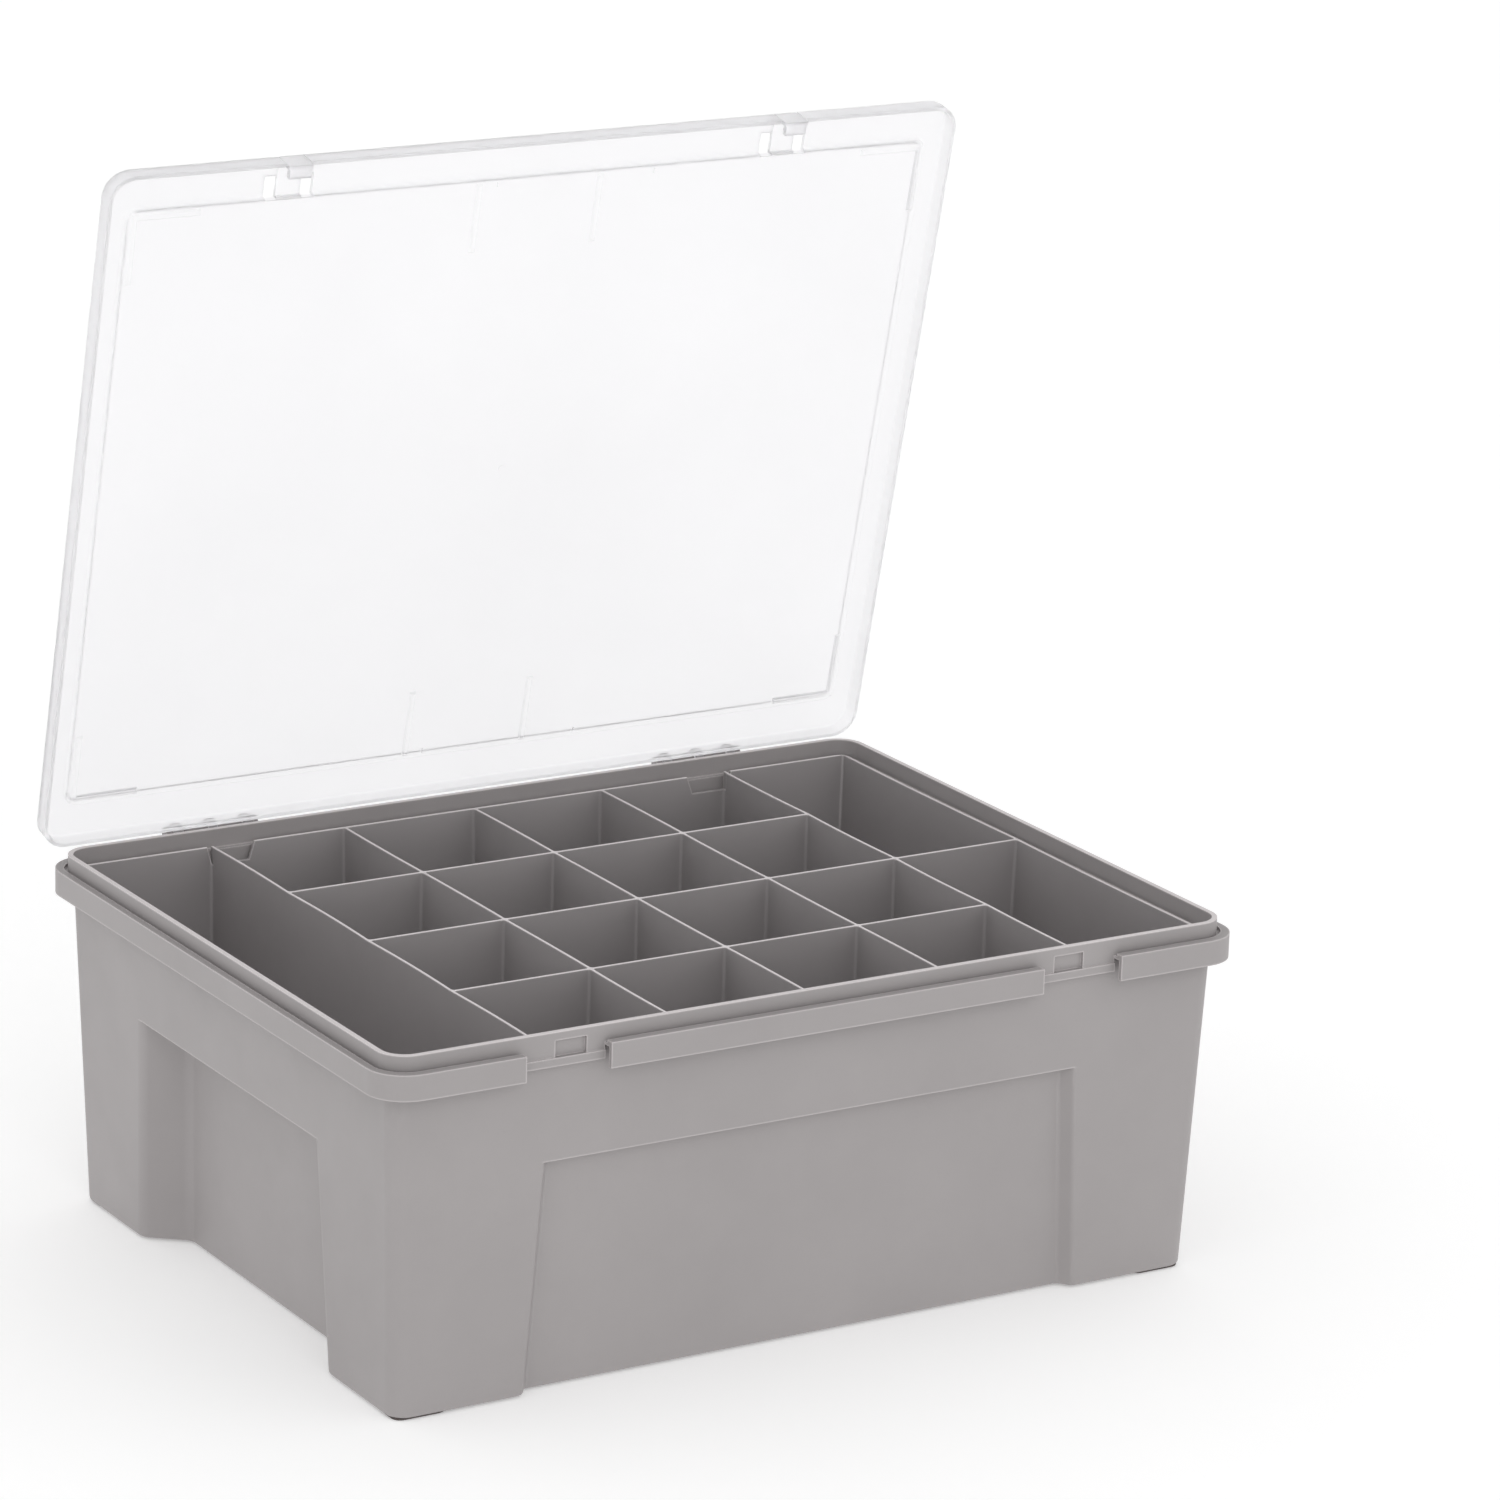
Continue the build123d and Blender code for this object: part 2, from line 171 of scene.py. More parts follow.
def round_edges(piece, width, angle=30, segments=2):
    """Round every edge sharper than an angle."""
    modifier = piece.modifiers.new("edges", "BEVEL")
    modifier.width = width
    modifier.segments = segments
    modifier.limit_method = "ANGLE"
    modifier.angle_limit = radians(angle)
    modifier.use_clamp_overlap = True
    modifier.loop_slide = False
    modifier.miter_outer = "MITER_ARC"
    bake_modifiers(piece)


def softened_copy(node, name, width):
    """A copy of a CAD node whose edges are rounded, as a mould leaves them."""
    bm = bmesh.new()
    bm.from_mesh(frame["nodes"][node].data)
    bmesh.ops.remove_doubles(bm, verts=bm.verts, dist=MERGE_DISTANCE)
    bmesh.ops.dissolve_limit(bm, angle_limit=radians(FLAT_ANGLE), verts=bm.verts,
                             edges=bm.edges)
    piece = new_piece(name, bm)
    round_edges(piece, width)
    soft_shading(piece)
    return piece


def loft(bm, rings, cap_first=False, cap_last=False):
    """Skin a list of closed rings of points that all have the same count."""
    rows = [[bm.verts.new(point) for point in ring] for ring in rings]
    for lower, upper in zip(rows, rows[1:]):
        for i in range(len(lower)):
            j = (i + 1) % len(lower)
            bm.faces.new((lower[i], lower[j], upper[j], upper[i]))
    if cap_first:
        bm.faces.new(rows[0])
    if cap_last:
        bm.faces.new(rows[-1])
    return rows


def prism(bm, outline, direction):
    """Extrude a closed outline of points along a vector into a closed solid."""
    shift = Vector(direction)
    loft(bm, [outline, [point + shift for point in outline]], True, True)


def box_prism(bm, low, high):
    """A closed box between two corners."""
    outline = [Vector((x, y, low[2])) for x, y in ((low[0], low[1]), (high[0], low[1]),
                                                   (high[0], high[1]), (low[0], high[1]))]
    prism(bm, outline, (0, 0, high[2] - low[2]))


def prism_piece(name, outline, direction):
    """A prism as an object of its own, to combine with another."""
    bm = bmesh.new()
    prism(bm, outline, direction)
    return new_piece(name, bm)


def box_piece(name, low, high):
    """A box as an object of its own, to combine with another."""
    bm = bmesh.new()
    box_prism(bm, low, high)
    return new_piece(name, bm)


def circle(radius, steps):
    """Pairs of coordinates round a circle about the origin."""
    angles = [2 * pi * step / steps for step in range(steps)]
    return [(radius * cos(a), radius * sin(a)) for a in angles]


def quarter_turn(radius, steps=ROUND_STEPS):
    """Offsets (out, down) round a quarter circle, from its top to its side."""
    angles = [pi / 2 * step / steps for step in range(steps + 1)]
    return [(radius * sin(a), radius * (1 - cos(a))) for a in angles]


def rounded_outline(low, high, radius, z, y_cuts=(), left=None, right=None):
    """A rounded rectangle at height z, counter-clockwise from its front left corner.

    y_cuts are extra points along both sides that face X, and left and right say how far
    those sides stand out of line at a given y.
    """
    x0, y0 = low
    x1, y1 = high
    r = max(min(radius, (x1 - x0) / 2, (y1 - y0) / 2), SMALLEST_RADIUS)
    up_right = [Vector((x1, y, z)) for y in y_cuts]
    down_left = [Vector((x0, y, z)) for y in reversed(y_cuts)]
    corners = ((x0 + r, y0 + r, pi, []), (x1 - r, y0 + r, 1.5 * pi, up_right),
               (x1 - r, y1 - r, 0.0, []), (x0 + r, y1 - r, pi / 2, down_left))
    points = []
    for cx, cy, start, side_points in corners:
        for step in range(CORNER_STEPS + 1):
            angle = start + pi / 2 * step / CORNER_STEPS
            points.append(Vector((cx + r * cos(angle), cy + r * sin(angle), z)))
        points += side_points
    middle = (x0 + x1) / 2
    for point in points:
        side = left if point.x < middle else right
        if side is not None:
            point.x += side(min(max(point.y, y0), y1))
    return points


# ---------------------------------------------------------------- tray
def arch(t):
    """A shallow arc: nothing at both ends, one in the middle."""
    return 1 - (2 * t - 1) ** 2


class TrayPlan:
    """Where the tray's walls and dividers stand, read from the CAD nodes."""

    def __init__(self):
        low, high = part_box("tray_shell")
        self.top = high.z
        self.bottom = low.z + TRAY_FOOT_HEIGHT
        self.floor = self.bottom + TRAY_FLOOR
        self.half_x = high.x
        self.half_y = high.y
        columns = ("far_left", "left", "middle", "right", "far_right")
        boxes = [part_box("tray_divider_" + name) for name in columns]
        self.columns = [(a.x + b.x) / 2 for a, b in boxes]
        self.thickness = boxes[0][1].x - boxes[0][0].x
        crosses = [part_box("tray_cross_divider_" + name) for name in ("front", "middle", "back")]
        self.rows = [(a.y + b.y) / 2 for a, b in crosses]
        self.bay_count = len(self.rows) + 1

    def share(self, z):
        """How much of the full bow a wall has at height z: none at the floor."""
        return max(0.0, (z - self.floor) / (self.top - self.floor)) ** BOW_FADE

    def divider_bow(self, column, z):
        """How far a divider stands out of line at height z, as a function of y."""
        stops = [-self.half_y, *self.rows, self.half_y]

        def offset(y):
            bay = sum(y > stop for stop in self.rows)
            t = (y - stops[bay]) / (stops[bay + 1] - stops[bay])
            return DIVIDER_BOWS[column][bay] * MM * arch(t) * self.share(z)
        return offset

    def wall_bow(self, sign, z):
        """The same for an end wall: one long arc on the left, two on the right."""
        bays = 1 if sign < 0 else 2

        def offset(y):
            t = (y + self.half_y) / (2 * self.half_y) * bays % 1.0
            return -sign * END_WALL_BOW / bays ** 0.5 * arch(t) * self.share(z)
        return offset

    def wall(self, half, z):
        """The outer wall's inner face at height z."""
        return half - (self.top - z) * TRAY_TAPER - TRAY_WALL

    def divider(self, z):
        """Half a divider's thickness at height z."""
        return self.thickness / 2 + (self.top - z) * DIVIDER_GROWTH

    def pocket(self, column, row_low, row_high, z, grow, radius):
        """Outline of one compartment at height z, grown by a distance.

        Column 0 is left of the first divider. Rows count from the front, and None is a wall.
        """
        half = self.divider(z)
        last = len(self.columns)
        x0 = -self.wall(self.half_x, z) if column == 0 else self.columns[column - 1] + half
        x1 = self.wall(self.half_x, z) if column == last else self.columns[column] - half
        y0 = -self.wall(self.half_y, z) if row_low is None else self.rows[row_low] + half
        y1 = self.wall(self.half_y, z) if row_high is None else self.rows[row_high] - half
        left = self.wall_bow(-1, z) if column == 0 else self.divider_bow(column - 1, z)
        right = self.wall_bow(1, z) if column == last else self.divider_bow(column, z)
        first_bay = 0 if row_low is None else row_low + 1
        end_bay = self.bay_count if row_high is None else row_high + 1
        steps = BAY_STEPS * (end_bay - first_bay)
        reach = y1 - y0 - 2 * radius
        cuts = [y0 + radius + reach * step / steps for step in range(1, steps)]
        return rounded_outline((x0 - grow, y0 - grow), (x1 + grow, y1 + grow), radius + grow, z,
                               cuts, left, right)

    def outside(self, z, inset):
        """Outline of the tray's outside at height z."""
        shrink = (self.top - z) * TRAY_TAPER + inset
        steps = self.bay_count * BAY_STEPS
        reach = 2 * (self.half_y - TRAY_CORNER)
        cuts = [-reach / 2 + reach * step / steps for step in range(1, steps)]
        return rounded_outline((shrink - self.half_x, shrink - self.half_y),
                               (self.half_x - shrink, self.half_y - shrink),
                               TRAY_CORNER - min(inset, TRAY_CORNER / 2), z, cuts,
                               self.wall_bow(-1, z), self.wall_bow(1, z))


def tray_compartments():
    """Every compartment as (column, cross divider in front of it, one behind it)."""
    rows = [None, 0, 1, 2, None]
    undivided = [(0, None, None)]
    small = [(column, front, back) for column in range(1, 5)
             for front, back in zip(rows, rows[1:])]
    halves = [(5, None, 1), (5, 1, None)]
    return undivided + small + halves


def tray_notches(plan):
    """Cutters for the notches in the front and back walls beside the outer dividers."""
    bm = bmesh.new()
    lower = plan.top - NOTCH_DEPTH
    upper = plan.top + TRAY_WALL
    half = plan.thickness / 2 - NOTCH_BITE
    for sign, column in ((-1, plan.columns[0]), (1, plan.columns[-1])):
        flat_outer = NOTCH_OUTER - NOTCH_OUTER_SLANT
        flat_inner = NOTCH_INNER - NOTCH_INNER_SLANT
        outer = [(half, upper), (NOTCH_OUTER, upper), (NOTCH_OUTER, plan.top),
                 (flat_outer, lower), (half, lower)]
        inner = [(-half, upper), (-half, lower), (-flat_inner, lower),
                 (-NOTCH_INNER, plan.top), (-NOTCH_INNER, upper)]
        for side in (-1, 1):
            start = side * (plan.half_y + TRAY_WALL)
            depth = -side * (2 * TRAY_WALL + NOTCH_REACH)
            for shape in (outer, inner):
                outline = [Vector((column + sign * x, start, z)) for x, z in shape]
                prism(bm, outline, (0, depth, 0))
    return new_piece("tray_notches", bm)


def tray_feet(plan):
    """Four shallow feet, joined to the underside at the corners."""
    bm = bmesh.new()
    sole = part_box("tray_shell")[0].z
    edge_out, edge_up = TRAY_FOOT_EDGE
    x_far, y_far = plan.half_x - TRAY_FOOT_INSET, plan.half_y - TRAY_FOOT_INSET
    levels = ((-edge_out, sole), (0, sole + edge_up), (0, plan.bottom + TRAY_FOOT_SINK))
    for sx in (-1, 1):
        for sy in (-1, 1):
            x0, x1 = sorted((sx * x_far, sx * (x_far - TRAY_FOOT_LENGTH)))
            y0, y1 = sorted((sy * y_far, sy * (y_far - TRAY_FOOT_WIDTH)))
            rings = [rounded_outline((x0 - grow, y0 - grow), (x1 + grow, y1 + grow),
                                     TRAY_FOOT_CORNER + grow, z) for grow, z in levels]
            loft(bm, rings, True, True)
    return new_piece("tray_feet", bm)


def build_tray():
    """The whole tray as one moulding with bowed dividers and rounded edges."""
    plan = TrayPlan()
    bm = bmesh.new()
    rim_loops = []
    rings = [plan.outside(plan.top - down, TRAY_RIM_EDGE - out)
             for out, down in quarter_turn(TRAY_RIM_EDGE)]
    drop = plan.top - TRAY_RIM_EDGE - plan.bottom - TRAY_BASE_EDGE
    for step in range(1, HEIGHT_STEPS + 1):
        rings.append(plan.outside(plan.top - TRAY_RIM_EDGE - drop * step / HEIGHT_STEPS, 0))
    for out, down in reversed(quarter_turn(TRAY_BASE_EDGE)[:-1]):
        rings.append(plan.outside(plan.bottom + down, TRAY_BASE_EDGE - out))
    rim_loops.append(loft(bm, rings, cap_last=True)[0])

    for column, below, above in tray_compartments():
        rings = [plan.pocket(column, below, above, plan.top - down, TRAY_RIM_EDGE - out,
                             POCKET_CORNER)
                 for out, down in quarter_turn(TRAY_RIM_EDGE)]
        drop = plan.top - TRAY_RIM_EDGE - plan.floor - POCKET_FLOOR_EDGE
        for step in range(1, HEIGHT_STEPS + 1):
            z = plan.top - TRAY_RIM_EDGE - drop * step / HEIGHT_STEPS
            rings.append(plan.pocket(column, below, above, z, 0, POCKET_CORNER))
        for out, down in reversed(quarter_turn(POCKET_FLOOR_EDGE)[:-1]):
            rings.append(plan.pocket(column, below, above, plan.floor + down,
                                     out - POCKET_FLOOR_EDGE, POCKET_CORNER))
        rim_loops.append(loft(bm, rings, cap_last=True)[0])

    rim_edges = [bm.edges.get((loop[i - 1], loop[i])) for loop in rim_loops
                 for i in range(len(loop))]
    bmesh.ops.triangle_fill(bm, edges=rim_edges, normal=(0, 0, 1), use_beauty=True)
    tray = new_piece("tray_moulding", bm)
    combine(tray, tray_feet(plan), "UNION")
    combine(tray, tray_notches(plan), "DIFFERENCE", "MANIFOLD")
    soft_shading(tray)
    return tray


# ---------------------------------------------------------------- lid
hinge = next(joint for joint in frame["joints"] if joint["name"] == "lid_hinge")
HINGE_POINT = Vector(hinge["pos_m"])
OPENING = Matrix.Translation(HINGE_POINT) @ Matrix.Rotation(
    radians(-hinge["range_deg"][0]), 4, Vector(hinge["axis"]))


def closed_lid_box():
    """The CAD lid's box when closed, measured from the hinge line."""
    closing = OPENING.inverted()
    points = [closing @ vert.co for vert in frame["nodes"]["lid"].data.vertices]
    low = Vector([min(point[i] for point in points) for i in range(3)])
    high = Vector([max(point[i] for point in points) for i in range(3)])
    return low, high


def lid_ring(length, width, radius, middle_y, z):
    """A rounded rectangle about the lid's middle, in the lid's own frame."""
    return rounded_outline((-length / 2, middle_y - width / 2),
                           (length / 2, middle_y + width / 2), radius, z)


def lid_ribs(middle_y, under):
    """Marks on the inner face: pairs of ribs from the long edges, an L in each corner, small
    ticks beside the ribs, and the gate's round scar in the middle.
    """
    bm = bmesh.new()
    edge_x = PANEL_LENGTH / 2
    edge_y = PANEL_WIDTH / 2

    def raise_rib(outline, height, slope):
        """outline(inset) gives the rib's plan; its sides run on a little way into the lid."""
        levels = ((slope, -height), (-slope / 2, height / 2))
        loft(bm, [[Vector((x, y, under + rise)) for x, y in outline(inset)]
                  for inset, rise in levels], True, True)

    def bar(x0, y0, x1, y1, height=RIB_HEIGHT, slope=RIB_SLOPE):
        raise_rib(lambda s: ((x0 + s, y0 + s), (x1 - s, y0 + s), (x1 - s, y1 - s),
                             (x0 + s, y1 - s)), height, slope)

    def corner_rib(sx, sy):
        def outline(s):
            near, far, inner = s, SHORT_RIB - s, RIB_WIDTH - s
            plan = ((near, near), (far, near), (far, inner), (inner, inner), (inner, far),
                    (near, far))
            return [(sx * (edge_x - u), middle_y + sy * (edge_y - v)) for u, v in plan]
        raise_rib(outline, RIB_HEIGHT, RIB_SLOPE)

    for sy in (-1, 1):
        edge = middle_y + sy * edge_y
        inner = edge - sy * SHORT_RIB
        tick = sorted((edge, edge - sy * TICK_LENGTH))
        for sx in (-1, 1):
            x = sx * SHORT_RIB_X
            bar(x - RIB_WIDTH / 2, min(edge, inner), x + RIB_WIDTH / 2, max(edge, inner))
            corner_rib(sx, sy)
        for x in TICK_X:
            bar(x - TICK_WIDTH / 2, tick[0], x + TICK_WIDTH / 2, tick[1],
                RIB_HEIGHT / 2, TICK_WIDTH / 4)
    scar = [Vector((x, middle_y + y, under - RIB_HEIGHT / 3))
            for x, y in circle(GATE_RADIUS, GATE_STEPS)]
    prism(bm, scar, (0, 0, LID_WALL / 2))
    return new_piece("lid_ribs", bm)


def lid_hooks():
    """The six open hooks that hold the hinge pins, each with its stop heel."""
    bm = bmesh.new()
    mouth_start, mouth_end, mouth_top = HOOK_MOUTH
    heel_start, heel_end, heel_half = HEEL
    for side in (-1, 1):
        for x in HOOK_X:
            start = side * x - HOOK_WIDTH / 2
            end = start + HOOK_WIDTH
            eye = [Vector((start, y, z)) for y, z in circle(HOOK_RADIUS, HOOK_STEPS)]
            bore = [Vector((start - MM, y, z)) for y, z in circle(HOOK_BORE, HOOK_STEPS)]
            hook = prism_piece("hook", eye, (HOOK_WIDTH, 0, 0))
            combine(hook, box_piece("heel", (start, heel_start, -heel_half),
                                    (end, heel_end, heel_half)), "UNION")
            combine(hook, prism_piece("bore", bore, (HOOK_WIDTH + 2 * MM, 0, 0)), "DIFFERENCE")
            combine(hook, box_piece("mouth", (start - MM, mouth_start, -2 * HOOK_RADIUS),
                                    (end + MM, mouth_end, -mouth_top)), "DIFFERENCE")
            bm.from_mesh(hook.data)
            bpy.data.objects.remove(hook)
    return new_piece("lid_hooks", bm)


def lid_slots(front, top, clip_x):
    """Cutters for the two snap tongues and the windows beside them."""
    slots, windows = bmesh.new(), bmesh.new()
    bottom = top - LID_SKIRT - MM
    for x in clip_x:
        box_prism(slots, (x - CLIP_SLOT / 2, front - MM, bottom),
                  (x + CLIP_SLOT / 2, front + CLIP_ROOT, top + MM))
        reach = CLIP_SLOT / 2 + WINDOW_WIDTH - CLIP_GAP
        box_prism(windows, (x - reach, front + CLIP_ROOT - WINDOW_LENGTH, bottom),
                  (x + reach, front + CLIP_ROOT, top + MM))
    return new_piece("lid_slots", slots), new_piece("lid_windows", windows)


def build_lid():
    """The lid as one frosted moulding, built closed and then opened with the CAD lid."""
    low, high = closed_lid_box()
    length = high.x - low.x
    front = low.y
    top = high.z
    middle_y = front + LID_WIDTH / 2
    bottom = top - LID_SKIRT
    under = top - LID_WALL

    def plate(inset, z):
        """The lid's outline, drawn in by a distance."""
        return lid_ring(length - 2 * inset, LID_WIDTH - 2 * inset, LID_CORNER - inset,
                        middle_y, z)

    def panel(grow, z):
        """The sunken panel's outline, grown by a distance."""
        return lid_ring(PANEL_LENGTH + 2 * grow, PANEL_WIDTH + 2 * grow, PANEL_CORNER + grow,
                        middle_y, z)

    # rings over the outer face from the panel to the rim, round the skirt and back inside
    bm = bmesh.new()
    rings = [panel(out - PANEL_EDGE, top - PANEL_SINK + down)
             for out, down in quarter_turn(PANEL_EDGE)]
    rings += [panel(PANEL_EDGE - out, top - down)
              for out, down in reversed(quarter_turn(PANEL_EDGE))]
    rings += [plate(LID_RIM - out, top - down)
              for out, down in quarter_turn(LID_RIM, LID_RIM_STEPS)]
    rings += [plate(LID_EDGE - out, bottom + down)
              for out, down in reversed(quarter_turn(LID_EDGE))]
    rings += [plate(LID_WALL - LID_EDGE + out, bottom + down)
              for out, down in quarter_turn(LID_EDGE)]
    rings += [plate(LID_WALL + PANEL_EDGE - out, under - down)
              for out, down in reversed(quarter_turn(PANEL_EDGE))]
    rings += [panel(LID_WALL + PANEL_EDGE - out, under - down)
              for out, down in quarter_turn(PANEL_EDGE)]
    rings += [panel(LID_WALL - PANEL_EDGE + out, under - PANEL_SINK + down)
              for out, down in reversed(quarter_turn(PANEL_EDGE))]
    loft(bm, rings, cap_first=True, cap_last=True)
    lid = new_piece("lid_moulding", bm)

    clip_x = [(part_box(node)[0].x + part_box(node)[1].x) / 2
              for node in ("lid_clip_left", "lid_clip_right")]
    combine(lid, lid_ribs(middle_y, under - PANEL_SINK), "UNION")
    combine(lid, lid_hooks(), "UNION")
    for cutter in lid_slots(front, top, clip_x):
        combine(lid, cutter, "DIFFERENCE")
    lid.data.transform(OPENING)
    soft_shading(lid)
    return lid


# ---------------------------------------------------------------- materials
# noise patterns: scale per metre, detail, roughness
FLOW_CLOUDS = (14, 4, 0.6)
SPECKS = (900, 3, 0.7)
SMEARS = (38, 5, 0.65)
GRAIN = (2600, 2, 0.6)
WALL_WAVES = (7, 2, 0.5)
LID_FLOW = (9, 3, 0.55)
LID_SMEARS = (46, 4, 0.6)
LID_GRAIN = (1900, 2, 0.5)
LID_WAVES = (11, 2, 0.5)
PAD_MOTTLE = (420, 4, 0.7)
PAD_DULLNESS = (160, 3, 0.6)
PAD_GRAIN = (1500, 2, 0.6)
PAPER_CLOUDS = (3, 3, 0.5)

EDGE_AGREEMENT = (0.86, 0.995)    # how far normals agree on a rounded edge, where a lighter colour is painted, and on a flat face
SPECK_RANGE = (0.58, 0.8)         # noise values over which a speck sets in
RIM_BAND = 0.3 * MM               # depth of the painted highlight along thin wall tops


class Shader:
    """A small builder for one procedural material."""

    def __init__(self, name):
        self.material = bpy.data.materials.new(name)
        self.material.use_nodes = True
        self.nodes = self.material.node_tree.nodes
        self.links = self.material.node_tree.links
        self.surface = self.nodes["Principled BSDF"]
        self.place = self.nodes.new("ShaderNodeTexCoord").outputs["Object"]

    def height(self):
        """Height above the floor at rest, which travels with the piece."""
        split = self.nodes.new("ShaderNodeSeparateXYZ")
        self.links.new(self.place, split.inputs[0])
        return split.outputs["Z"]

    def noise(self, scale, detail, roughness):
        """A noise value that is fixed to the piece."""
        node = self.nodes.new("ShaderNodeTexNoise")
        node.inputs["Scale"].default_value = scale
        node.inputs["Detail"].default_value = detail
        node.inputs["Roughness"].default_value = roughness
        self.links.new(self.place, node.inputs["Vector"])
        return node.outputs["Fac"]

    def spread(self, value, low, high, start=0.3, end=0.7):
        """Map a noise value to a range."""
        node = self.nodes.new("ShaderNodeMapRange")
        node.inputs["From Min"].default_value = start
        node.inputs["From Max"].default_value = end
        node.inputs["To Min"].default_value = low
        node.inputs["To Max"].default_value = high
        self.links.new(value, node.inputs["Value"])
        return node.outputs["Result"]

    def mix(self, factor, first, second):
        """Mix two colours, each a socket or a plain colour."""
        node = self.nodes.new("ShaderNodeMix")
        node.data_type = "RGBA"
        self.links.new(factor, node.inputs["Factor"])
        colour_a, colour_b = node.inputs[6], node.inputs[7]
        result = node.outputs[2]
        for socket, colour in ((colour_a, first), (colour_b, second)):
            if isinstance(colour, tuple):
                socket.default_value = (*colour, 1)
            else:
                self.links.new(colour, socket)
        return result

    def constants(self, **values):
        """Set values on the surface's own sockets, such as Transmission_Weight."""
        for name, value in values.items():
            self.surface.inputs[name.replace("_", " ")].default_value = value

    def drive(self, socket, value):
        """Link a value or colour to one of the surface's sockets."""
        self.links.new(value, self.surface.inputs[socket])

    def edges(self, radius, strength):
        """Zero on flat faces, rising to a strength on rounded edges: the mask for a lighter
        colour painted there.
        """
        rounded = self.nodes.new("ShaderNodeBevel")
        rounded.samples = 4
        rounded.inputs["Radius"].default_value = radius
        flat = self.nodes.new("ShaderNodeNewGeometry")
        agree = self.nodes.new("ShaderNodeVectorMath")
        agree.operation = "DOT_PRODUCT"
        self.links.new(rounded.outputs["Normal"], agree.inputs[0])
        self.links.new(flat.outputs["Normal"], agree.inputs[1])
        return self.spread(agree.outputs["Value"], strength, 0.0, *EDGE_AGREEMENT)

    def bump(self, *layers):
        """Stack bumps, each a height socket with its depth in metres."""
        normal = None
        for height, depth in layers:
            node = self.nodes.new("ShaderNodeBump")
            node.inputs["Strength"].default_value = 1.0
            node.inputs["Distance"].default_value = depth
            self.links.new(height, node.inputs["Height"])
            if normal is not None:
                self.links.new(normal, node.inputs["Normal"])
            normal = node.outputs["Normal"]
        self.drive("Normal", normal)


def tint(colour, factor):
    """A colour made lighter or darker."""
    return tuple(min(1.0, channel * factor) for channel in colour)


def grey_plastic(name, colour, edge_radius, edge_highlight_gain, rim_top):
    """Satin moulded polypropylene: a fine grain, faint flow clouds and a highlight painted on its
    edges.

    rim_top is the height of thin wall tops; a highlight is painted along their whole width, where
    light catches them.
    """
    look = Shader(name)
    clouds = look.spread(look.noise(*FLOW_CLOUDS), 0, 1)
    base = look.mix(clouds, tint(colour, 0.965), tint(colour, 1.035))
    specks = look.spread(look.noise(*SPECKS), 0, 0.35, *SPECK_RANGE)
    base = look.mix(specks, base, tint(colour, 0.9))
    # painted highlight colour, laid on rounded edges and along thin wall tops
    highlight_colour = tint(colour, edge_highlight_gain)
    edge_highlighted = look.mix(look.edges(edge_radius, 0.8), base, highlight_colour)
    # painted highlight along the tops of thin walls, chosen by height
    rim = look.spread(look.height(), 0, 1, rim_top - RIM_BAND, rim_top - RIM_BAND / 2)
    look.drive("Base Color", look.mix(rim, edge_highlighted, highlight_colour))
    look.drive("Roughness", look.spread(look.noise(*SMEARS), 0.40, 0.52))
    look.constants(IOR=1.49)
    look.bump((look.noise(*GRAIN), 0.012 * MM), (look.noise(*WALL_WAVES), 0.2 * MM))
    return look.material


def frosted_plastic(name, colour):
    """Frosted translucent polypropylene, a little milky, with a faint flow pattern."""
    look = Shader(name)
    flow = look.spread(look.noise(*LID_FLOW), 0, 1)
    look.drive("Base Color", look.mix(flow, tint(colour, 0.975), colour))
    look.drive("Roughness", look.spread(look.noise(*LID_SMEARS), 0.34, 0.44))
    look.constants(Transmission_Weight=0.95, IOR=1.3)
    look.bump((look.noise(*LID_GRAIN), 0.01 * MM), (look.noise(*LID_WAVES), 0.08 * MM))
    return look.material


def pad_rubber(name, colour):
    """Dull dark pad with a coarse grain, lighter along its edges."""
    look = Shader(name)
    mottle = look.spread(look.noise(*PAD_MOTTLE), 0, 1)
    base = look.mix(mottle, tint(colour, 0.7), tint(colour, 1.3))
    # lighter colour along the rounded edges
    look.drive("Base Color", look.mix(look.edges(0.3 * MM, 0.4), base, tint(colour, 2.1)))
    look.drive("Roughness", look.spread(look.noise(*PAD_DULLNESS), 0.72, 0.9))
    look.bump((look.noise(*PAD_GRAIN), 0.05 * MM))
    return look.material


TUB_GREY = (0.352, 0.331, 0.331)
TRAY_GREY = (0.336, 0.317, 0.319)
LID_CLEAR = (0.992, 0.988, 1.0)   # the light that passes through the lid
PAD_BLACK = (0.084, 0.07, 0.066)
FINISHES = {
    "tub_plastic": grey_plastic("tub_plastic", TUB_GREY, edge_radius=1.1 * MM, edge_highlight_gain=1.9,
                                rim_top=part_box("tub")[1].z),
    "tray_plastic": grey_plastic("tray_plastic", TRAY_GREY, edge_radius=0.9 * MM,
                                 edge_highlight_gain=2.2, rim_top=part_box("tray_shell")[1].z),
    "lid_plastic": frosted_plastic("lid_plastic", LID_CLEAR),
    "foot_pad": pad_rubber("foot_pad", PAD_BLACK),
}


# ---------------------------------------------------------------- the object
TUB_ROUND = 0.45 * MM             # edge rounds of the pieces made from CAD nodes
SMALL_ROUND = 0.25 * MM


def dress(piece, slot, body, *nodes):
    """Give a piece its finish, its body and the CAD nodes that it stands for."""
    piece.data.materials.clear()
    piece.data.materials.append(FINISHES[slot])
    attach(piece, body)
    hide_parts(*nodes)


dress(softened_copy("tub", "tub_moulding", TUB_ROUND), "tub_plastic", "tub", "tub")
for corner in ("front_left", "front_right", "back_left", "back_right"):
    pad = softened_copy("foot_" + corner, "pad_" + corner, SMALL_ROUND)
    dress(pad, "foot_pad", "tub", "foot_" + corner)
for side in ("left", "right"):
    tongue = softened_copy("lid_clip_" + side, "snap_tongue_" + side, SMALL_ROUND)
    dress(tongue, "lid_plastic", "lid_clip_" + side, "lid_clip_" + side)
dress(build_lid(), "lid_plastic", "lid", "lid")
tray_nodes = [node for node in frame["nodes"] if node.startswith("tray_")]
dress(build_tray(), "tray_plastic", "tray", *tray_nodes)


